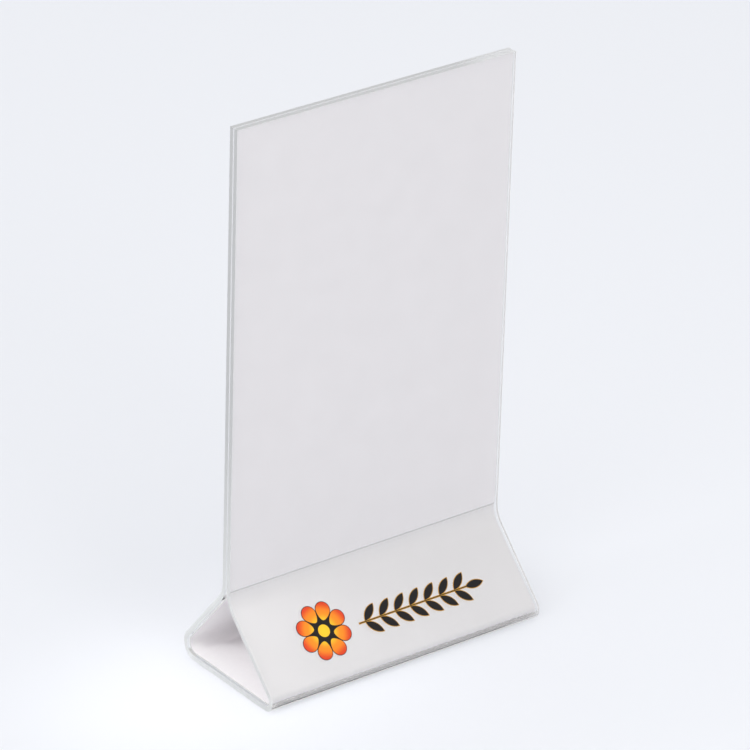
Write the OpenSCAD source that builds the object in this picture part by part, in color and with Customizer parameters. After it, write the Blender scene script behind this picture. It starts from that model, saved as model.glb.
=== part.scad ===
// Table number holder. One acrylic sheet is folded into two upright leaves over
// a three-sided base. A card stands between the leaves, a white liner lines the
// base, and a flower and a sprig are printed on the front of the base.
// X runs along the width, -Y is the printed front and +Z is up. The origin is
// on the table, under the middle of the base.

/* [Holder] */
// Width of the holder, end to end
holder_w = 102.6; // [102:0.1:160]
// Height from the table to the top edges of the leaves
holder_h = 184; // [120:0.5:260]
// Depth of the base, from the front bend to the rear bend
base_depth = 45.6; // [44:0.1:60]
// Distance of the leaves behind the middle of the base
leaf_back = 1.5; // [0:0.1:2]
// Thickness of the acrylic sheet
sheet_t = 1.6; // [1.2:0.1:2]
// Gap between the two leaves
slot_gap = 0.45; // [0.4:0.05:1]

/* [Folds] */
// Height at which the front leaf starts to bend outwards
front_fold_h = 31.6; // [31.2:0.1:36]
// Height at which the rear leaf starts to bend outwards
rear_fold_h = 33.6; // [32:0.1:38]
// Radius on the hollow side of the two leaf bends
fold_r = 9; // [7:0.5:11]
// Outside radius of the front bend at the table
front_foot_r = 3.6; // [3.2:0.1:6]
// Outside radius of the rear bend at the table
rear_foot_r = 5; // [3.2:0.1:6]

/* [Card] */
// Width of the card
card_w = 101.6; // [80:0.1:158]
// Height of the card
card_h = 152.4; // [80:0.1:230]
// Thickness of the card
card_t = 0.3; // [0.2:0.05:0.35]
// Height of the card's lower edge above the table
card_z = 31.4; // [31.2:0.1:34]

/* [Liner] */
// Length of the liner along the base
liner_w = 101; // [90:0.1:158]
// Thickness of the liner
liner_t = 0.5; // [0.45:0.05:0.55]
// Clearance between the liner and the acrylic
liner_gap = 0.2; // [0.15:0.05:0.3]
// Height of the liner's front edge, just under the card
liner_front_h = 30.9; // [29:0.1:31]
// Height of the liner's rear edge
liner_rear_h = 29; // [27:0.1:29]

/* [Print] */
// Thickness of the printed film
print_t = 0.12; // [0.08:0.02:0.3]
// Diameter of the flower
flower_d = 20; // [12:0.5:21]
// Number of petals
petals = 8; // [5:1:12]
// Place of the flower's middle along the width
flower_x = -24.5; // [-34:0.5:-22]
// Length of the sprig
sprig_l = 48; // [30:1:50]
// Place of the sprig's middle along the width
sprig_x = 12; // [10:0.5:14]
// Distance of the sprig below the middle of the printed face
sprig_drop = 1.5; // [0:0.5:3]
// Leaf pairs on the sprig
leaf_pairs = 7; // [3:1:9]

/* [Hidden] */
$fn = 96;

// Half the thickness of both leaves with the slot between them
half_stack = slot_gap / 2 + sheet_t;
// Each side of the base: the height where its leaf starts to bend, its radius at
// the table and its reach from the middle plane of the leaves
front = [front_fold_h, front_foot_r, base_depth / 2 + leaf_back];
rear = [rear_fold_h, rear_foot_r, base_depth / 2 - leaf_back];
// Distance by which two shapes run past each other where they join
lap = 1;

// Outlines are drawn as depth from the leaves' middle plane and height.
// Centre of a side's leaf bend, and of its bend at the table
function fold_c(side) = [half_stack + fold_r, side[0]];
function foot_c(side) = [side[2] - side[1], side[1]];
// Angle through which the leaf turns to become the skirt, whose outer face
// touches both bends
function fold_turn(side) =
    let (v = foot_c(side) - fold_c(side))
    atan2(v[1], v[0]) + acos(-(fold_r + side[1]) / norm(v));
// Direction that the skirt's outer face looks in
function skirt_normal(side) = [cos(fold_turn(side)), sin(fold_turn(side))];
// Middle of the flat stretch of the skirt's outer face
function skirt_middle(side) =
    (fold_c(side) + foot_c(side) + (side[1] - fold_r) * skirt_normal(side)) / 2;

// All of one side that lies deeper than d below the holder's outer face, up to
// the height top, and from past the middle plane by the distance past
module side_area(side, d, top, past) {
    n = skirt_normal(side);
    fold = fold_c(side);
    foot = foot_c(side);
    difference() {
        polygon([
            [-past, d],
            [foot[0], d],
            foot + (side[1] - d) * n,
            fold - (fold_r + d) * n,
            [half_stack - d, fold[1]],
            [half_stack - d, top],
            [-past, top]
        ]);
        translate(fold) circle(r = fold_r + d);
    }
    translate(foot) circle(r = side[1] - d);
}

// One side of a folded band that runs down the leaf, out along the skirt and in
// along the table, just past the middle. near and far are the depths of its two
// faces below the holder's outer face.
module side_band(side, near, far, top) {
    difference() {
        side_area(side, near, top, lap);
        side_area(side, far, top + lap, 2 * lap);
    }
}

// Turns an outline into a solid of width w, with the leaves in their place
module along_width(w) {
    translate([0, leaf_back, 0]) rotate([90, 0, 90])
        linear_extrude(height = w, center = true) children();
}

module folded_holder() {
    color([0.86, 0.88, 0.9, 0.5])
    along_width(holder_w) {
        side_band(rear, 0, sheet_t, holder_h);
        mirror([1, 0]) side_band(front, 0, sheet_t, holder_h);
    }
}

module number_card() {
    color([0.93, 0.92, 0.93])
    translate([-card_w / 2, leaf_back - card_t / 2, card_z]) cube([card_w, card_t, card_h]);
}

// The liner's band on one side, cut off level at its upper edge
module liner_side(side, top) {
    near = sheet_t + liner_gap;
    intersection() {
        side_band(side, near, near + liner_t, holder_h);
        translate([-base_depth, 0]) square([2 * base_depth, top]);
    }
}

module base_liner() {
    color([0.95, 0.95, 0.97])
    along_width(liner_w) {
        liner_side(rear, liner_rear_h);
        mirror([1, 0]) liner_side(front, liner_front_h);
    }
}

// Lays a flat outline on the front of the base, with its origin at x and a
// distance drop below the middle of that face
module on_front(x, drop = 0) {
    p = skirt_middle(front);
    translate([x, leaf_back - p[0], p[1]]) rotate([90 - fold_turn(front), 0, 0])
        translate([0, -drop]) linear_extrude(height = print_t) children();
}

// A pointed leaf of length l and width w that grows from the origin along x
module leaf(l, w) {
    r = (l * l + w * w) / (4 * w);
    translate([l / 2, 0]) intersection() {
        translate([0, r - w / 2]) circle(r = r);
        translate([0, w / 2 - r]) circle(r = r);
    }
}

// Round petals that stand side by side on a ring, round a middle disc
module flower_print() {
    ring_r = flower_d / 2 / (1 + sin(180 / petals));
    petal_r = flower_d / 2 - ring_r;
    color([0.88, 0.32, 0.1])
    on_front(flower_x) {
        circle(r = ring_r);
        for (i = [0:petals - 1]) rotate(360 * (i + 0.5) / petals)
            translate([ring_r, 0]) circle(r = petal_r);
    }
}

module sprig_print() {
    stem_w = 0.7;
    pitch = sprig_l / (leaf_pairs + 1.4);
    leaf_l = 1.25 * pitch;
    leaf_w = 0.4 * leaf_l;
    color([0.1, 0.1, 0.11])
    on_front(sprig_x - sprig_l / 2, sprig_drop) {
        translate([0, -stem_w / 2]) square([sprig_l - leaf_l / 2, stem_w]);
        translate([sprig_l - leaf_l, 0]) leaf(leaf_l, leaf_w);
        for (i = [0:leaf_pairs - 1], side = [-1, 1])
            translate([(i + 0.4) * pitch, 0]) rotate(side * 42) leaf(leaf_l, leaf_w);
    }
}

folded_holder();
number_card();
base_liner();
flower_print();
sprig_print();
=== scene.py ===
"""Table number holder: the finished look of a folded acrylic card holder.

One clear sheet, folded into two leaves over a three-sided base, with a card between
the leaves, a white liner in the base, and a flower and a sprig printed on its front.
Lengths are in metres. X is the width, -Y the printed front and +Z is up.
"""

import math

import bmesh
import bpy
from bpy.props import (
    FloatProperty,
    FloatVectorProperty,
    IntProperty,
    PointerProperty,
)
from mathutils import Euler, Matrix, Quaternion, Vector


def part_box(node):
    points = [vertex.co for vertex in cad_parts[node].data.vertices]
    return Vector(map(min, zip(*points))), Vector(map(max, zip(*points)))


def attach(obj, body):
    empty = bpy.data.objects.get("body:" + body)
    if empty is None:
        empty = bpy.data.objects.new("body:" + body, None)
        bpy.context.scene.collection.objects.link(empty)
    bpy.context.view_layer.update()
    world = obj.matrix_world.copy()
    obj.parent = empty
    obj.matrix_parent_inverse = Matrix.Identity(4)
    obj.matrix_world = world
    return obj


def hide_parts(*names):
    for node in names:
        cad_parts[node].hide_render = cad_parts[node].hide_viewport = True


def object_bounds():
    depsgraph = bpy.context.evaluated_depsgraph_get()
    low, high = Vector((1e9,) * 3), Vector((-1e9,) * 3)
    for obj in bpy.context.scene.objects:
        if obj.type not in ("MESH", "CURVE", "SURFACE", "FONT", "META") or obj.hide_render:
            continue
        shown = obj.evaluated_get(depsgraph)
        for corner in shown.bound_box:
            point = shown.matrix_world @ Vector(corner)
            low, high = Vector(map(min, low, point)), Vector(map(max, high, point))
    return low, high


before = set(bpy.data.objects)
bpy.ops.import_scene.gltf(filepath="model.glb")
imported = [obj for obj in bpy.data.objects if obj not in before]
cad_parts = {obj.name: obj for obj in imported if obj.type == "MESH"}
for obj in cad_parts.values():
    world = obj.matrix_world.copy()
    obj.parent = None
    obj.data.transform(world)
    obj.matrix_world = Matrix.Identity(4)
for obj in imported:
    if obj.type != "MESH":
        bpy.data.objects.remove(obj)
START_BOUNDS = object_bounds()

bl_info = {
    "name": "Table Number Holder",
    "version": (1, 0, 0),
    "blender": (4, 5, 0),
    "location": "3D View > Sidebar > Holder",
    "description": "Builds a folded acrylic table number holder with its card, liner and print",
    "category": "Object",
}

MM = 0.001
# Plain white, and the tint of what takes nothing from the light
WHITE = (1.0, 1.0, 1.0)
# Flat facets in a bend at the table and in a leaf's bend
FOOT_STEPS = 48
FOLD_STEPS = 32
# Sides of the largest and of the smaller rounds in the print
LEAF_STEPS = 144
SPOT_STEPS = 72
# A cut edge's material reaches this many bevel widths in from the cut
RIM = 1.3
# Refractive index of acrylic
ACRYLIC_IOR = 1.49


# Colours and nodes


def linear(hex_colour):
    """The linear values of an sRGB hex colour."""
    shares = (int(hex_colour[i : i + 2], 16) / 255 for i in (1, 3, 5))
    return tuple(
        s / 12.92 if s <= 0.04045 else ((s + 0.055) / 1.055) ** 2.4 for s in shares
    )


def length(name, description, default):
    """A length that a user may change."""
    return FloatProperty(
        name=name,
        description=description,
        default=default,
        min=0,
        precision=5,
        subtype="DISTANCE",
        unit="LENGTH",
    )


def colour(name, description, default):
    """A colour that a user may change, from its sRGB hex value."""
    return FloatVectorProperty(
        name=name,
        description=description,
        default=linear(default),
        size=3,
        min=0,
        max=1,
        subtype="COLOR",
    )


def power(name, description, default):
    """A lamp's power that a user may change, in watts."""
    return FloatProperty(
        name=name,
        description=description,
        default=default,
        min=0,
        precision=4,
        unit="POWER",
    )


def angle(name, description, degrees):
    """An angle that a user may change."""
    return FloatProperty(
        name=name,
        description=description,
        default=math.radians(degrees),
        subtype="ANGLE",
        unit="ROTATION",
    )


def add_node(tree, kind, inputs=None, **settings):
    """Adds a node, sets its settings, and gives its inputs values or other nodes' outputs."""
    made = tree.nodes.new(kind)
    for name, value in settings.items():
        setattr(made, name, value)
    for key, value in (inputs or {}).items():
        if isinstance(value, bpy.types.NodeSocket):
            tree.links.new(value, made.inputs[key])
        else:
            made.inputs[key].default_value = value
    return made


def new_material(name):
    """An empty material with its output, and its node tree."""
    material = bpy.data.materials.new(name)
    material.use_nodes = True
    tree = material.node_tree
    tree.nodes.clear()
    return material, tree, tree.nodes.new("ShaderNodeOutputMaterial")


def opaque(rgb):
    """A colour with its alpha, as a colour socket takes it."""
    return (*rgb[:3], 1)


# Sizes and colours that a user may change


class HolderSizes(bpy.types.PropertyGroup):
    """Sizes of the bent parts. The width, height and depth are the frame's own."""

    sheet_t: length("Sheet thickness", "Thickness of the acrylic", 1.6 * MM)
    slot_gap: length("Slot", "Gap between the two leaves", 0.45 * MM)
    fold_r: length("Leaf bend", "Radius on the hollow side of a leaf's bend", 9 * MM)
    front_fold_h: length(
        "Front bend height", "Height where the front leaf starts to bend", 31.6 * MM
    )
    rear_fold_h: length(
        "Rear bend height", "Height where the rear leaf starts to bend", 33.6 * MM
    )
    front_foot_r: length(
        "Front foot", "Outside radius of the front bend at the table", 3.6 * MM
    )
    rear_foot_r: length(
        "Rear foot", "Outside radius of the rear bend at the table", 5 * MM
    )
    edge_ease: length("Cut edge", "Width of the bevel on the sheet's edges", 0.12 * MM)
    liner_t: length("Liner thickness", "Thickness of the liner board", 0.5 * MM)
    liner_gap: length(
        "Liner clearance", "Clearance between the liner and the acrylic", 0.2 * MM
    )
    liner_ease: length("Liner edge", "Width of the bevel on the liner", 0.06 * MM)
    card_corner: length("Card corner", "Radius of the card's corners", 0.4 * MM)
    card_ease: length("Card edge", "Width of the bevel on the card", 0.03 * MM)


class PrintSizes(bpy.types.PropertyGroup):
    """Sizes of the flower and the sprig. Their places and widths are the frame's own."""

    film: length("Film", "Height of the ink off the acrylic", 0.12 * MM)
    rim: length("Rim", "Width of the outline round petals and leaves", 0.22 * MM)
    ink_gap: length(
        "Ink clearance", "Clearance between the ink and the acrylic", 0.005 * MM
    )
    ink_ease: length("Ink edge", "Width of the bevel on the top ink", 0.02 * MM)
    eye_r: length("Eye", "Radius of the flower's eye", 2 * MM)
    petal_start: length(
        "Petal start", "Distance of a petal's inner end from the middle", 3.4 * MM
    )
    petal_taper: FloatProperty(
        name="Petal taper",
        description="Share of its width that a petal keeps at its inner end",
        default=0.65,
        min=0.1,
        max=1,
    )
    petals: IntProperty(
        name="Petals", description="Number of petals", default=8, min=5, max=12
    )
    leaf_pairs: IntProperty(
        name="Leaf pairs",
        description="Number of leaf pairs on the sprig",
        default=7,
        min=3,
        max=9,
    )
    leaf_angle: angle("Leaf angle", "Angle between a leaf and the stem", 42)
    stem_w: length("Stem", "Width of the sprig's stem", 0.7 * MM)


class FinishColours(bpy.types.PropertyGroup):
    """Colours of the holder's materials."""

    acrylic: colour("Acrylic", "Tint of the clear sheet", "#F5F5F5")
    # Painted light: the sheet's right end is drawn whiter for the light that the sheet carries
    # from the left and lets out there
    cut_edge: colour("Cut edge", "Tint of the sheet's sawn edges", "#E0E1E1")
    brightened_edge: colour("Brightened edge", "Tint of the sheet's sanded end", "#FCFCFC")
    # Painted shade: this grey on the foot bends stands in for the shadow under them at the
    # table
    foot_shade: colour("Foot shade", "Shaded outside of the bends at the table", "#DDDCDA")
    card: colour("Card", "Card stock", "#FBF8FA")
    liner: colour("Liner", "Liner board", "#F5F3F4")
    # Painted shade: the cut edges of the card and the liner are drawn greyer than the board,
    # for the shade they stand in
    shaded_board_edge: colour("Board edge", "Cut edges of the card and the liner", "#CFCDCD")
    outline: colour("Outline ink", "Ink round the petals and in the sprig", "#120F12")
    petal_core: colour("Petal core", "Ink at the inner end of a petal", "#F8C32A")
    petal_mid: colour("Petal middle", "Ink half way along a petal", "#F08A1E")
    petal_tip: colour("Petal tip", "Ink at the tip of a petal", "#D9401F")
    gold: colour("Gold ink", "Ink of the rim round the sprig", "#C4933A")
    table: colour("Table", "Shooting table and its light", "#EFF1F6")


class StageSettings(bpy.types.PropertyGroup):
    """The camera and the lights."""

    azimuth: angle("Azimuth", "Camera's direction round the holder", -37.924)
    elevation: angle("Elevation", "Camera's height above the horizon", 26.866)
    roll: angle("Roll", "Camera's turn about its own axis", 1.704)
    lens: FloatProperty(
        name="Lens", description="Focal length", default=270.2, unit="CAMERA"
    )
    distance: length("Distance", "Camera's distance from its aim", 1.6967)
    aim: FloatVectorProperty(
        name="Aim",
        description="Camera's aim, from the middle of the holder",
        default=(4.26 * MM, 3.17 * MM, -4.23 * MM),
        subtype="XYZ",
        unit="LENGTH",
    )
    key_power: power("Key light", "Power of the main softbox", 2.6)
    fill_power: power("Fill light", "Power of the softbox at the front", 0.5)
    side_power: power("Side light", "Power of the light into the base", 0.0068)
    room: FloatProperty(
        name="Room light", description="Strength of the light all round", default=0.95
    )


# Modelling, by the operators used by hand


def only(*objects):
    """Selects only these objects and makes the first active."""
    if bpy.context.mode != "OBJECT":
        bpy.ops.object.mode_set(mode="OBJECT")
    bpy.ops.object.select_all(action="DESELECT")
    for o in objects:
        o.select_set(True)
    if objects:
        bpy.context.view_layer.objects.active = objects[0]


def add(name, primitive, scale=(1, 1, 1), **how):
    """Adds a mesh primitive under its own name, with its size in its mesh."""
    only()
    getattr(bpy.ops.mesh, f"primitive_{primitive}_add")(**how)
    piece = bpy.context.object
    piece.name = piece.data.name = name
    piece.scale = scale
    bpy.ops.object.transform_apply(location=True, rotation=True, scale=True)
    return piece


def pick(piece, kind, test):
    """In edit mode, selects the piece's VERT, EDGE or FACE elements that pass a test."""
    only(piece)
    bpy.ops.object.mode_set(mode="EDIT")
    bpy.ops.mesh.select_mode(type=kind)
    bpy.ops.mesh.select_all(action="DESELECT")
    mesh = bmesh.from_edit_mesh(piece.data)
    parts = {"VERT": mesh.verts, "EDGE": mesh.edges, "FACE": mesh.faces}[kind]
    for part in parts:
        if test(part):
            part.select_set(True)
    mesh.select_flush_mode()
    bmesh.update_edit_mesh(piece.data)


def modify(piece, kind, **settings):
    """Adds a modifier with its settings and applies it."""
    only(piece)
    bpy.ops.object.modifier_add(type=kind)
    modifier = piece.modifiers[-1]
    for name, value in settings.items():
        setattr(modifier, name, value)
    bpy.ops.object.modifier_apply(modifier=modifier.name)


def outward(piece):
    """Merges doubles and turns the faces outwards."""
    pick(piece, "VERT", lambda v: True)
    bpy.ops.mesh.remove_doubles(threshold=0.001 * MM)
    bpy.ops.mesh.normals_make_consistent(inside=False)
    bpy.ops.object.mode_set(mode="OBJECT")


def ease(piece, width, segments=2, smooth=20):
    """Bevels the sharp edges and smooths what bends less than an angle in degrees."""
    modify(
        piece,
        "BEVEL",
        width=width,
        segments=segments,
        limit_method="ANGLE",
        angle_limit=math.radians(50),
    )
    only(piece)
    bpy.ops.object.shade_smooth_by_angle(angle=math.radians(smooth))


def another(piece, name):
    """A copy of a piece with its own mesh."""
    made = piece.copy()
    made.data = piece.data.copy()
    made.name = made.data.name = name
    bpy.context.scene.collection.objects.link(made)
    return made


def move(piece, place):
    """Moves a piece by a matrix and leaves its object at the origin."""
    only(piece)
    piece.matrix_world = place
    bpy.ops.object.transform_apply(location=True, rotation=True, scale=True)


def thicken(piece, thickness):
    """Gives a bare surface its thickness, on its inner side."""
    modify(piece, "SOLIDIFY", thickness=thickness, offset=-1, use_even_offset=True)


def paint(piece, material, test):
    """Gives one of a piece's materials to the faces that pass a test."""
    pick(piece, "FACE", test)
    piece.active_material_index = list(piece.data.materials).index(material)
    bpy.ops.object.material_slot_assign()
    bpy.ops.object.mode_set(mode="OBJECT")


def paint_cuts(piece, material, node, bevel):
    """Gives a material to the ends and the top of a piece, with their bevels."""
    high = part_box(node)[1]
    rim = RIM * bevel

    def is_cut(face):
        centre = face.calc_center_median()
        return abs(centre.x) > high.x - rim or centre.z > high.z - rim

    paint(piece, material, is_cut)


def join_solids(base, others):
    """Makes one closed solid of overlapping ones."""
    for other in others:
        modify(base, "BOOLEAN", operation="UNION", solver="EXACT", object=other)
        bpy.data.objects.remove(other)
    return base


def finish(piece, body, materials, stands_for=()):
    """Gives a finished piece its materials, its body and the CAD nodes it stands for."""
    for material in materials:
        piece.data.materials.append(material)
    if stands_for:
        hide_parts(*stands_for)
    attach(piece, body)


def match_box(piece, node, slack=0.05 * MM):
    """Stops if a piece's box isn't its CAD node's own."""
    low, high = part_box(node)
    corners = [Vector(c) for c in piece.bound_box]
    for i in range(3):
        off = max(
            abs(min(c[i] for c in corners) - low[i]),
            abs(max(c[i] for c in corners) - high[i]),
        )
        if off > slack:
            raise RuntimeError(f"{piece.name} is {off / MM:.3f} mm off {node} on axis {i}")


# The bent sheets


class Side:
    """One side of the base, in depth from the leaves' middle plane and height."""

    def __init__(self, sizes, facing, fold_h, foot_r):
        low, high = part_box("folded_holder")
        card_low, card_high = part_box("number_card")
        self.plane = (card_low.y + card_high.y) / 2
        reach = abs((high.y if facing > 0 else low.y) - self.plane)
        self.facing = facing
        self.leaf_h = high.z - fold_h
        self.fold_r, self.foot_r = sizes.fold_r, foot_r
        half_stack = sizes.slot_gap / 2 + sizes.sheet_t
        self.fold = Vector((half_stack + sizes.fold_r, fold_h))
        self.foot = Vector((reach - foot_r, foot_r))
        run = self.foot - self.fold
        both_r = sizes.fold_r + foot_r
        self.turn = math.atan2(run.y, run.x) + math.acos(-both_r / run.length)
        self.normal = Vector((math.cos(self.turn), math.sin(self.turn)))
        self.skirt = -run - both_r * self.normal

    def way(self, depth, height):
        """A direction with this depth and height."""
        return Vector((0, self.facing * depth, height))

    def place(self, point):
        """The point at this depth and height, on the middle of the width."""
        return self.way(*point) + Vector((0, self.plane, 0))

    def skirt_middle(self):
        """The middle of the flat stretch of the skirt's outer face."""
        return self.place(self.foot + self.foot_r * self.normal + self.skirt / 2)


def both_sides():
    """The front and the rear side of the base."""
    sizes = bpy.context.scene.holder_sizes
    return (
        Side(sizes, -1, sizes.front_fold_h, sizes.front_foot_r),
        Side(sizes, 1, sizes.rear_fold_h, sizes.rear_foot_r),
    )


def spin_edge(side, centre, turn, steps):
    """Bends the selected edge on round an axis along the width."""
    bpy.ops.mesh.spin(
        steps=steps,
        angle=-side.facing * turn,
        center=side.place(centre),
        axis=(1, 0, 0),
    )


def extend_edge(step):
    """Runs the selected edge on by one flat stretch."""
    bpy.ops.mesh.extrude_region_move(TRANSFORM_OT_translate={"value": step})


def bent_strip(name, width, inset, tops=None):
    """A strip bent as the holder is, with its face inset below the holder's outer one.

    It runs out along the table, round each foot bend, up each skirt and round each
    leaf bend. tops holds the height at which each side ends in its leaf bend; without
    them both sides run on as the leaves, to the holder's own height.
    """
    sides = both_sides()
    ends = [side.place((side.foot.x, inset)) for side in sides]
    strip = add(
        name,
        "plane",
        size=1,
        location=(ends[0] + ends[1]) / 2,
        scale=(width, (ends[1] - ends[0]).length, 1),
    )
    for i, side in enumerate(sides):
        end = ends[i]
        pick(
            strip,
            "EDGE",
            lambda e: all((v.co - end).yz.length < 0.01 * MM for v in e.verts),
        )
        spin_edge(side, side.foot, math.pi / 2 + side.turn, FOOT_STEPS)
        extend_edge(side.way(*side.skirt))
        turn = side.turn
        if tops:
            turn -= math.asin((side.fold.y - tops[i]) / (side.fold_r + inset))
        spin_edge(side, side.fold, -turn, FOLD_STEPS)
        if not tops:
            extend_edge(side.way(0, side.leaf_h))
    outward(strip)
    return strip


# Materials


def let_lamps_through(tree, surface, tint):
    """Lets the rays that carry light from lamps and between matt faces pass straight.

    The camera still sees the surface itself. What stands behind a sheet this thin is
    lit almost as if the sheet weren't there.
    """
    through = add_node(tree, "ShaderNodeBsdfTransparent", {"Color": opaque(tint)})
    path = add_node(tree, "ShaderNodeLightPath")
    lamp_ray = add_node(
        tree,
        "ShaderNodeMath",
        {0: path.outputs["Is Shadow Ray"], 1: path.outputs["Is Diffuse Ray"]},
        operation="MAXIMUM",
    )
    mix = add_node(
        tree,
        "ShaderNodeMixShader",
        {0: lamp_ray.outputs[0], 1: surface.outputs[0], 2: through.outputs[0]},
    )
    return mix.outputs[0]


def relief(tree, place, spacing, height, strength, detail=2.0):
    """The normal of a surface with uneven rises, at this spacing and height."""
    rises = add_node(
        tree,
        "ShaderNodeTexNoise",
        {"Vector": place, "Scale": 1 / spacing, "Detail": detail},
    )
    bump = add_node(
        tree,
        "ShaderNodeBump",
        {"Height": rises.outputs["Fac"], "Strength": strength, "Distance": height},
    )
    return bump.outputs["Normal"]


def clear_acrylic(name, tint):
    """Clear sheet, with slow waves and a faint haze that soften what is seen in it."""
    material, tree, output = new_material(name)
    place = add_node(tree, "ShaderNodeTexCoord").outputs["Object"]
    # Slow waves some 25 mm long, as heating for the bends leaves in a sheet
    waves = relief(tree, place, 25 * MM, 0.1 * MM, 0.03, detail=1.0)
    # Faint haze in patches some 12 mm wide, left by wiping and handling
    haze = add_node(
        tree,
        "ShaderNodeTexNoise",
        {"Vector": place, "Scale": 1 / (12 * MM), "Detail": 3.0, "Roughness": 0.6},
    )
    rough = add_node(
        tree,
        "ShaderNodeMapRange",
        {
            "Value": haze.outputs["Fac"],
            "From Min": 0.35,
            "From Max": 0.75,
            "To Min": 0.012,
            "To Max": 0.042,
        },
    )
    sheet = add_node(
        tree,
        "ShaderNodeBsdfPrincipled",
        {
            "Base Color": opaque(tint),
            "Roughness": rough.outputs["Result"],
            "IOR": ACRYLIC_IOR,
            "Transmission Weight": 1.0,
            "Normal": waves,
        },
    )
    tree.links.new(let_lamps_through(tree, sheet, tint), output.inputs["Surface"])
    return material


def painted_shade_acrylic(name, tint, foot_shade):
    """Acrylic painted a matt grey, as painted shade where the bends meet the table."""
    material, tree, output = new_material(name)
    place = add_node(tree, "ShaderNodeTexCoord").outputs["Object"]
    # Fine bumps some 0.3 mm apart on the painted shade
    band_bumps = relief(tree, place, 0.3 * MM, 0.01 * MM, 0.2)
    grey = add_node(
        tree,
        "ShaderNodeBsdfPrincipled",
        {"Base Color": opaque(foot_shade), "Roughness": 0.5, "Normal": band_bumps},
    )
    tree.links.new(let_lamps_through(tree, grey, tint), output.inputs["Surface"])
    return material


def cut_acrylic(name, tint):
    """A satin cut edge, which scatters what the sheet carries to it."""
    material, tree, output = new_material(name)
    place = add_node(tree, "ShaderNodeTexCoord").outputs["Object"]
    # Marks of the saw or of the sanding block, some 0.4 mm apart
    marks = relief(tree, place, 0.4 * MM, 0.02 * MM, 0.3)
    edge = add_node(
        tree,
        "ShaderNodeBsdfPrincipled",
        {
            "Base Color": opaque(tint),
            "Roughness": 0.38,
            "IOR": ACRYLIC_IOR,
            "Transmission Weight": 0.35,
            "Normal": marks,
        },
    )
    tree.links.new(let_lamps_through(tree, edge, tint), output.inputs["Surface"])
    return material


def pressed_board(name, tint, fibre, tooth, roughness, glow):
    """Uncoated card or board: matt, with pressed fibres and a slightly uneven white.

    fibre is the spacing of the fibres, tooth the height that they stand up, and glow
    the share of the light that comes through from the other face.
    """
    material, tree, output = new_material(name)
    place = add_node(tree, "ShaderNodeTexCoord").outputs["Object"]
    # Fibres lie mostly one way, and are drawn about three times coarser than real ones
    stretch = add_node(
        tree, "ShaderNodeMapping", {"Vector": place, "Scale": (0.4, 1, 1)}
    )
    fibres = add_node(
        tree,
        "ShaderNodeTexNoise",
        {"Vector": stretch.outputs["Vector"], "Scale": 1 / fibre, "Detail": 4.0},
    )
    # The pulp is a little thicker in clouds some 9 mm wide
    clouds = add_node(
        tree,
        "ShaderNodeTexNoise",
        {"Vector": place, "Scale": 1 / (9 * MM), "Detail": 2.0},
    )
    both = add_node(
        tree,
        "ShaderNodeMath",
        {0: fibres.outputs["Fac"], 1: clouds.outputs["Fac"]},
        operation="ADD",
    )
    shade = add_node(
        tree,
        "ShaderNodeMapRange",
        {
            "Value": both.outputs[0],
            "From Min": 0.6,
            "From Max": 1.4,
            "To Min": 0.975,
            "To Max": 1.015,
        },
    )
    tinted = add_node(
        tree,
        "ShaderNodeVectorMath",
        {0: tint[:3], "Scale": shade.outputs["Result"]},
        operation="SCALE",
    )
    bump = add_node(
        tree,
        "ShaderNodeBump",
        {"Height": fibres.outputs["Fac"], "Strength": 0.4, "Distance": tooth},
    )
    board = add_node(
        tree,
        "ShaderNodeBsdfPrincipled",
        {
            "Base Color": tinted.outputs["Vector"],
            "Roughness": roughness,
            "Specular IOR Level": 0.3,
            "Normal": bump.outputs["Normal"],
        },
    )
    through = add_node(
        tree, "ShaderNodeBsdfTranslucent", {"Color": tinted.outputs["Vector"]}
    )
    mix = add_node(
        tree, "ShaderNodeMixShader", {0: glow, 1: board.outputs[0], 2: through.outputs[0]}
    )
    tree.links.new(mix.outputs[0], output.inputs["Surface"])
    return material


def cured_ink(name, stops, middle=None, tilt=0.0, reach=1.0, metallic=0.0):
    """Screen ink: a satin film with a fine orange-peel skin.

    stops are the colours from the middle of the print to its reach; a single one
    colours it all over. The film lets lamps through, so that it throws no shadow on
    the liner behind the clear sheet.
    """
    material, tree, output = new_material(name)
    place = add_node(tree, "ShaderNodeTexCoord").outputs["Object"]
    # The skin of cured ink has pits some 0.3 mm apart
    skin = relief(tree, place, 0.3 * MM, 0.01 * MM, 0.25)
    ink = add_node(
        tree,
        "ShaderNodeBsdfPrincipled",
        {
            "Base Color": opaque(stops[0]),
            "Roughness": 0.4,
            "Specular IOR Level": 0.25,
            "Metallic": metallic,
            "Normal": skin,
        },
    )
    if len(stops) > 1:
        flat = add_node(
            tree,
            "ShaderNodeMapping",
            {"Vector": place, "Location": middle, "Rotation": (tilt, 0, 0)},
            vector_type="TEXTURE",
        )
        out = add_node(
            tree,
            "ShaderNodeVectorMath",
            {0: flat.outputs["Vector"]},
            operation="LENGTH",
        )
        share = add_node(
            tree,
            "ShaderNodeMapRange",
            {"Value": out.outputs["Value"], "From Max": reach},
        )
        ramp = add_node(tree, "ShaderNodeValToRGB", {0: share.outputs["Result"]})
        ramp.color_ramp.interpolation = "EASE"
        marks = ramp.color_ramp.elements
        while len(marks) < len(stops):
            marks.new(0.5)
        # Shares of the reach at which the first and the last colour stand
        first, last = 0.3, 0.95
        for i, stop in enumerate(stops):
            marks[i].position = first + (last - first) * i / (len(stops) - 1)
            marks[i].color = opaque(stop)
        tree.links.new(ramp.outputs["Color"], ink.inputs["Base Color"])
    tree.links.new(let_lamps_through(tree, ink, WHITE), output.inputs["Surface"])
    return material


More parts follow.
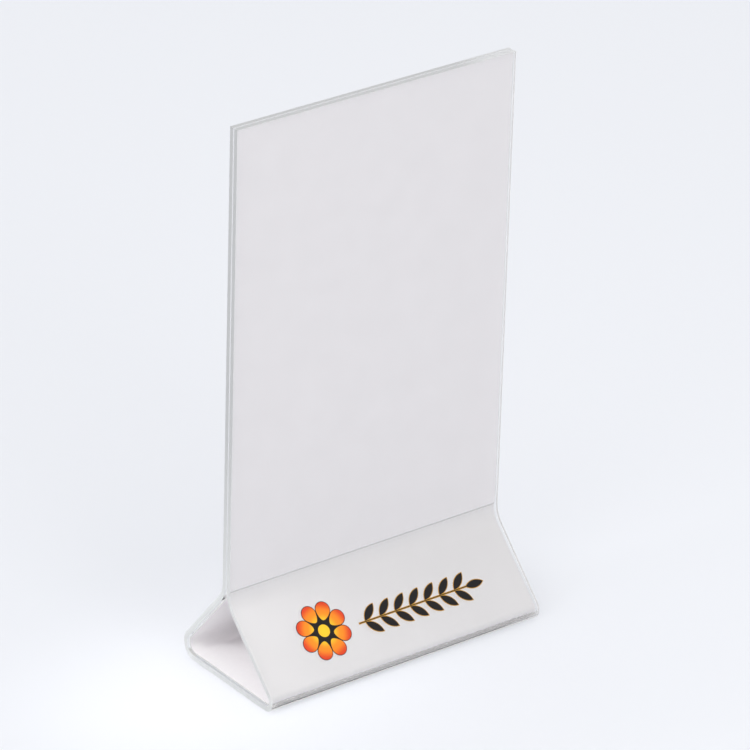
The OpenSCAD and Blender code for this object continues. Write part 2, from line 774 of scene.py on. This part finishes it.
def lit_table(name, tint, cover, glow):
    """An opal acrylic shooting table, lit from below so that it takes little shadow.

    cover is the share of the tint that the table reflects, and glow the strength of the
    light that comes up through it.
    """
    material, tree, output = new_material(name)
    place = add_node(tree, "ShaderNodeTexCoord").outputs["Object"]
    # A satin grain some 2 mm wide
    grain = relief(tree, place, 2 * MM, 0.02 * MM, 0.1, detail=3.0)
    opal = add_node(
        tree,
        "ShaderNodeBsdfPrincipled",
        {
            "Base Color": opaque([cover * share for share in tint]),
            "Roughness": 0.9,
            "Specular IOR Level": 0.1,
            "Emission Color": opaque(tint),
            "Emission Strength": glow,
            "Normal": grain,
        },
    )
    tree.links.new(opal.outputs[0], output.inputs["Surface"])
    return material


# The prints


def turned(by):
    """A turn about +Z by an angle."""
    return Matrix.Rotation(by, 4, "Z")


def ink_heights():
    """The lowest and highest of the ground ink, and of the top ink, off the acrylic."""
    sizes = bpy.context.scene.holder_print
    return (sizes.ink_gap, sizes.film / 2), (sizes.ink_gap, sizes.film)


def print_place(node):
    """The middle of a print on the front of the base, and the tilt of that face."""
    low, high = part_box(node)
    front = both_sides()[0]
    face = front.skirt_middle()
    normal = front.way(*front.normal)
    middle = (low + high) / 2
    middle -= normal * (middle - face).dot(normal)
    return middle, math.pi / 2 - front.turn


def lay_on_front(piece, place, tilt):
    """Lays a print that was made flat on the front of the base."""
    move(piece, Matrix.Translation(place) @ Euler((tilt, 0, 0)).to_matrix().to_4x4())


def ink_disc(name, radius, heights):
    """A round spot of ink about the origin, between two heights."""
    bottom, top = heights
    return add(
        name,
        "cylinder",
        vertices=SPOT_STEPS,
        radius=radius,
        depth=top - bottom,
        location=(0, 0, (bottom + top) / 2),
    )


# Operators, one for each piece or group of like pieces


class HOLDER_OT_folded_sheet(bpy.types.Operator):
    """Bends the clear acrylic sheet into the base and the two leaves"""

    bl_idname = "holder.folded_sheet"
    bl_label = "Folded Sheet"

    def execute(self, context):
        sizes, colours = context.scene.holder_sizes, context.scene.holder_colours
        low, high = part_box("folded_holder")
        sheet = bent_strip("clear_folded_sheet", high.x - low.x, 0)
        thicken(sheet, sizes.sheet_t)
        ease(sheet, sizes.edge_ease)
        match_box(sheet, "folded_holder")
        # Cast acrylic sheet, bent over a hot wire: glossy and almost colourless
        acrylic = clear_acrylic("cast_acrylic_sheet", colours.acrylic)
        # The same sheet where a saw cut it: satin, with fine marks
        cut = cut_acrylic("saw_cut_acrylic_edge", colours.cut_edge)
        # The same sheet at its right end: satin, painted whiter as light that the sheet carries
        # from the left and lets out at this end
        brightened = cut_acrylic("brightened_acrylic_edge", colours.brightened_edge)
        # The same sheet on the outside of its bends at the table: painted a matt grey, as shade
        # for the shadowed table seen in the bends and the contact shadow under them
        shaded_foot = painted_shade_acrylic(
            "painted_shade_acrylic_foot", colours.acrylic, colours.foot_shade
        )
        finish(
            sheet,
            "holder",
            [acrylic, cut, shaded_foot, brightened],
            ["folded_holder"],
        )
        plane = both_sides()[0].plane
        # Height up to which the foot bends get the painted shade
        shade_h = 1.2 * sizes.sheet_t
        right_end = high.x - RIM * sizes.edge_ease
        paint(sheet, shaded_foot, lambda f: self.gets_foot_shade(f, plane, shade_h))
        paint_cuts(sheet, cut, "folded_holder", sizes.edge_ease)
        # The right end gets the painted light
        paint(sheet, brightened, lambda f: f.calc_center_median().x > right_end)
        return {"FINISHED"}

    def gets_foot_shade(self, face, plane, shade_h):
        """True on the outside of a foot bend, below a height, where the shade is painted."""
        centre = face.calc_center_median()
        # The floor looks straight up or down, and the inside of a bend leans in
        leans_out = face.normal.y * math.copysign(1, centre.y - plane) > 0.05
        return leans_out and centre.z < shade_h


class HOLDER_OT_card(bpy.types.Operator):
    """Cuts the blank card that stands between the leaves"""

    bl_idname = "holder.card"
    bl_label = "Card"

    def execute(self, context):
        sizes, colours = context.scene.holder_sizes, context.scene.holder_colours
        low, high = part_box("number_card")
        card = add(
            "blank_card", "cube", size=1, location=(low + high) / 2, scale=high - low
        )
        pick(
            card,
            "EDGE",
            lambda e: abs(e.verts[0].co.y - e.verts[1].co.y) > 0.1 * MM,
        )
        bpy.ops.mesh.bevel(offset=sizes.card_corner, segments=6)
        bpy.ops.object.mode_set(mode="OBJECT")
        ease(card, sizes.card_ease)
        match_box(card, "number_card")
        # Heavy card stock, uncoated: matt, with a faint tooth
        stock = pressed_board(
            "uncoated_card_stock",
            colours.card,
            fibre=0.5 * MM,
            tooth=0.01 * MM,
            roughness=0.75,
            glow=0.05,
        )
        # The same stock where a blade cut it: painted greyer, as shade on its edges, which
        # stand in the slot between the leaves
        cut = pressed_board(
            "cut_card_edge",
            colours.shaded_board_edge,
            fibre=0.5 * MM,
            tooth=0.02 * MM,
            roughness=0.9,
            glow=0.05,
        )
        finish(card, "card", [stock, cut], ["number_card"])
        paint_cuts(card, cut, "number_card", sizes.card_ease)
        return {"FINISHED"}


class HOLDER_OT_liner(bpy.types.Operator):
    """Folds the white liner that lies inside the base"""

    bl_idname = "holder.liner"
    bl_label = "Liner"

    def execute(self, context):
        sizes, colours = context.scene.holder_sizes, context.scene.holder_colours
        low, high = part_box("base_liner")
        liner = bent_strip(
            "folded_liner",
            high.x - low.x,
            sizes.sheet_t + sizes.liner_gap,
            tops=(high.z, self.rear_height(low, high)),
        )
        thicken(liner, sizes.liner_t)
        ease(liner, sizes.liner_ease)
        match_box(liner, "base_liner", slack=0.1 * MM)
        # White lined board, creased and folded: matt and even
        board = pressed_board(
            "white_lined_board",
            colours.liner,
            fibre=0.8 * MM,
            tooth=0.01 * MM,
            roughness=0.6,
            glow=0.1,
        )
        # The same board where a blade cut it: painted greyer, as shade on its edges
        cut = pressed_board(
            "cut_board_edge",
            colours.shaded_board_edge,
            fibre=0.8 * MM,
            tooth=0.02 * MM,
            roughness=0.9,
            glow=0.05,
        )
        finish(liner, "liner", [board, cut], ["base_liner"])
        paint_cuts(liner, cut, "base_liner", sizes.liner_ease)
        return {"FINISHED"}

    def rear_height(self, low, high):
        """The height of the liner's rear edge, read from the frame."""
        middle = (low.y + high.y) / 2
        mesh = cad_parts["base_liner"].data
        return max(v.co.z for v in mesh.vertices if v.co.y > middle)


class HOLDER_OT_flower(bpy.types.Operator):
    """Prints the flower on the front of the base"""

    bl_idname = "holder.flower"
    bl_label = "Flower Print"

    def execute(self, context):
        sizes, colours = context.scene.holder_print, context.scene.holder_colours
        low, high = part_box("flower_print")
        whole_r = (high.x - low.x) / 2
        ground_h, top_h = ink_heights()
        half_step = math.pi / sizes.petals
        ring_r = whole_r / (1 + math.sin(half_step))
        round_r = whole_r - ring_r
        spots = [
            turned((2 * i + 1) * half_step) @ Matrix.Translation((ring_r, 0, 0))
            for i in range(sizes.petals)
        ]

        ground = ink_disc("flower_outline_ink", ring_r, ground_h)
        rounds = []
        for i, spot in enumerate(spots):
            rounds.append(ink_disc(f"round_{i}", round_r, ground_h))
            move(rounds[-1], spot)
        join_solids(ground, rounds)

        petal_r = round_r - sizes.rim
        petal = ink_disc("flower_petal_ink", petal_r, top_h)
        # The inner half reaches to its start, and is drawn in more the nearer it gets
        inner = ring_r - sizes.petal_start
        pick(petal, "VERT", lambda v: v.co.x < -0.001 * MM)
        bpy.ops.transform.resize(
            value=(inner / petal_r, 1, 1), center_override=(0, 0, 0)
        )
        pick(petal, "VERT", lambda v: v.co.x < -0.97 * inner)
        bpy.ops.transform.resize(
            value=(1, sizes.petal_taper, 1),
            center_override=(0, 0, 0),
            use_proportional_edit=True,
            proportional_edit_falloff="LINEAR",
            proportional_size=inner,
        )
        bpy.ops.object.mode_set(mode="OBJECT")
        ease(petal, sizes.ink_ease)
        petals = [another(petal, f"petal_{i}") for i in range(1, sizes.petals)]
        for one, spot in zip([petal, *petals], spots):
            move(one, spot)
        only(petal, *petals)
        bpy.ops.object.join()

        eye = ink_disc("flower_eye_ink", sizes.eye_r, top_h)
        ease(eye, sizes.ink_ease)

        middle, tilt = print_place("flower_print")
        for ink in (ground, petal, eye):
            lay_on_front(ink, middle, tilt)
        # Black screen ink, printed first as the ground of the flower
        black = cured_ink("black_screen_ink", [colours.outline])
        # Blended screen ink, drawn from yellow at the eye to red at the tips
        warm = cured_ink(
            "blended_screen_ink",
            [colours.petal_core, colours.petal_mid, colours.petal_tip],
            middle=middle,
            tilt=tilt,
            reach=whole_r,
        )
        yellow = cured_ink("yellow_screen_ink", [colours.petal_core])
        finish(ground, "holder", [black], ["flower_print"])
        finish(petal, "holder", [warm])
        finish(eye, "holder", [yellow])
        return {"FINISHED"}


class HOLDER_OT_sprig(bpy.types.Operator):
    """Prints the sprig on the front of the base"""

    bl_idname = "holder.sprig"
    bl_label = "Sprig Print"

    def execute(self, context):
        sizes, colours = context.scene.holder_print, context.scene.holder_colours
        low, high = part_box("sprig_print")
        whole = high.x - low.x
        ground_h, top_h = ink_heights()
        gold = self.sprig("sprig_rim_ink", whole, 0, ground_h)
        dark = self.sprig("sprig_leaf_ink", whole, sizes.rim, top_h)
        middle, tilt = print_place("sprig_print")
        start = middle - Vector((whole / 2, 0, 0))
        for ink in (gold, dark):
            lay_on_front(ink, start, tilt)
        # Gold screen ink: bronze powder in a clear binder, a satin metal
        bronze = cured_ink("gold_screen_ink", [colours.gold], metallic=0.35)
        black = cured_ink("black_leaf_ink", [colours.outline])
        finish(gold, "holder", [bronze], ["sprig_print"])
        finish(dark, "holder", [black])
        return {"FINISHED"}

    def sprig(self, name, whole, inset, heights):
        """A sprig along +X: a stem, pairs of leaves and an end leaf, drawn in by inset."""
        sizes = bpy.context.scene.holder_print
        # In pitches: the stem up to the first pair, the end past the last pair's own
        # pitch, and the length of a leaf
        root, end, leaf_share = 0.4, 1.0, 1.25
        pitch = whole / (sizes.leaf_pairs + root + end)
        leaf_l = leaf_share * pitch
        leaf_w = 0.4 * leaf_l
        leaf = self.leaf(name + "_leaf", leaf_l, leaf_w, inset, heights)
        stem_l = whole - leaf_l / 2 - inset
        bottom, top = heights
        stem = add(
            name,
            "cube",
            size=1,
            location=((inset + stem_l) / 2, 0, (bottom + top) / 2),
            scale=(stem_l - inset, sizes.stem_w - 2 * inset, top - bottom),
        )
        leaves = []
        for i in range(sizes.leaf_pairs):
            for way in (-1, 1):
                one = another(leaf, f"{name}_{i}_{way}")
                foot = Matrix.Translation(((i + root) * pitch, 0, 0))
                move(one, foot @ turned(way * sizes.leaf_angle))
                leaves.append(one)
        move(leaf, Matrix.Translation((whole - leaf_l, 0, 0)))
        join_solids(stem, [leaf, *leaves])
        return stem

    def leaf(self, name, long, wide, inset, heights):
        """A pointed leaf from the origin along +X, where two round arcs meet."""
        r = (long * long + wide * wide) / (4 * wide)
        bottom, top = heights
        leaf = add(
            name,
            "cylinder",
            vertices=LEAF_STEPS,
            radius=r - inset,
            depth=top - bottom,
            location=(long / 2, wide / 2 - r, (bottom + top) / 2),
        )
        pick(leaf, "VERT", lambda v: True)
        bpy.ops.mesh.bisect(
            plane_co=(0, 0, 0), plane_no=(0, 1, 0), clear_inner=True, threshold=1e-8
        )
        bpy.ops.object.mode_set(mode="OBJECT")
        modify(
            leaf,
            "MIRROR",
            use_axis=(False, True, False),
            use_mirror_merge=True,
            merge_threshold=0.001 * MM,
        )
        outward(leaf)
        return leaf


class HOLDER_OT_stage(bpy.types.Operator):
    """Sets up the table, the soft light and the camera"""

    bl_idname = "holder.stage"
    bl_label = "Stage"

    def execute(self, context):
        settings = context.scene.holder_stage
        colours = context.scene.holder_colours
        low, high = START_BOUNDS
        # In metres: the table's width and depth, the bend at its back and the wall
        table_w, table_d, bend_r, wall_h = 8, 5, 0.8, 2
        back_edge = table_d / 2
        table = add(
            "table_sweep",
            "plane",
            size=1,
            location=(0, 0, low.z - 0.05 * MM),
            scale=(table_w, table_d, 1),
        )
        pick(table, "EDGE", lambda e: all(v.co.y > back_edge - MM for v in e.verts))
        bpy.ops.mesh.spin(
            steps=24, angle=-math.pi / 2, center=(0, back_edge, bend_r), axis=(1, 0, 0)
        )
        extend_edge((0, 0, wall_h))
        bpy.ops.object.mode_set(mode="OBJECT")
        only(table)
        bpy.ops.object.shade_smooth_by_angle(angle=math.radians(30))
        # Opal acrylic, lit from below: a bright satin white with a cool tint
        opal = lit_table("opal_acrylic_table", colours.table, cover=0.68, glow=0.3)
        table.data.materials.append(opal)

        middle = (low + high) / 2
        front = Vector((middle.x, low.y, low.z))
        mouth = Vector((low.x, middle.y, low.z + 12 * MM))
        key = self.lamp(
            "key_softbox",
            middle,
            offset=(-0.9, -0.15, 1.0),
            size=0.8,
            watts=settings.key_power,
        )
        fill = self.lamp(
            "fill_softbox",
            front,
            offset=(-0.05, -0.5, 0.4),
            size=0.25,
            watts=settings.fill_power,
        )
        side = self.lamp(
            "side_reflector",
            mouth,
            offset=(-0.17, 0.01, 0.14),
            size=0.06,
            watts=settings.side_power,
        )
        # Narrow enough to light the inside of the base and little of the table
        side.data.spread = math.radians(26)

        world = bpy.data.worlds.new("studio_room")
        context.scene.world = world
        world.use_nodes = True
        sky = world.node_tree.nodes["Background"]
        sky.inputs["Color"].default_value = opaque(WHITE)
        sky.inputs["Strength"].default_value = settings.room
        context.scene.view_settings.view_transform = "Standard"
        # Light has to find its way into the base, from white face to white face, and
        # through the narrow gaps between the bent acrylic and the liner
        cycles = context.scene.cycles
        cycles.max_bounces = 32
        cycles.diffuse_bounces = 12
        cycles.transmission_bounces = 24
        cycles.glossy_bounces = 12

        azimuth, elevation = settings.azimuth, settings.elevation
        back = Vector(
            (
                math.sin(azimuth) * math.cos(elevation),
                -math.cos(azimuth) * math.cos(elevation),
                math.sin(elevation),
            )
        )
        level = (-back).to_track_quat("-Z", "Y")
        rolled = level @ Quaternion((0, 0, 1), settings.roll)
        only()
        bpy.ops.object.camera_add(
            location=middle + Vector(settings.aim) + back * settings.distance,
            rotation=rolled.to_euler(),
        )
        camera = context.object
        camera.data.lens = settings.lens
        camera.data.sensor_width = 36
        context.scene.camera = camera
        return {"FINISHED"}

    def lamp(self, name, aim, offset, size, watts):
        """A square softbox that looks at its aim from an offset."""
        only()
        place = aim + Vector(offset)
        bpy.ops.object.light_add(
            type="AREA",
            location=place,
            rotation=(aim - place).to_track_quat("-Z", "Y").to_euler(),
        )
        lamp = bpy.context.object
        lamp.name = name
        lamp.data.size = size
        lamp.data.energy = watts
        return lamp


STEPS = (
    HOLDER_OT_folded_sheet,
    HOLDER_OT_card,
    HOLDER_OT_liner,
    HOLDER_OT_flower,
    HOLDER_OT_sprig,
    HOLDER_OT_stage,
)


class HOLDER_PT_sidebar(bpy.types.Panel):
    """Lists the holder's steps in the sidebar"""

    bl_idname = "HOLDER_PT_sidebar"
    bl_label = "Table Number Holder"
    bl_space_type = "VIEW_3D"
    bl_region_type = "UI"
    bl_category = "Holder"

    def draw(self, context):
        for step in STEPS:
            self.layout.operator(step.bl_idname)


GROUPS = {
    "holder_sizes": HolderSizes,
    "holder_print": PrintSizes,
    "holder_colours": FinishColours,
    "holder_stage": StageSettings,
}


def register():
    for group in GROUPS.values():
        bpy.utils.register_class(group)
    for name, group in GROUPS.items():
        setattr(bpy.types.Scene, name, PointerProperty(type=group))
    for step in STEPS:
        bpy.utils.register_class(step)
    bpy.utils.register_class(HOLDER_PT_sidebar)


def unregister():
    bpy.utils.unregister_class(HOLDER_PT_sidebar)
    for step in reversed(STEPS):
        bpy.utils.unregister_class(step)
    for name, group in GROUPS.items():
        delattr(bpy.types.Scene, name)
        bpy.utils.unregister_class(group)


def main():
    """Builds every piece and the stage."""
    register()
    for step in STEPS:
        family, action = step.bl_idname.split(".")
        if getattr(getattr(bpy.ops, family), action)() != {"FINISHED"}:
            raise RuntimeError(f"{step.bl_label} didn't finish")


if __name__ == "__main__":
    main()
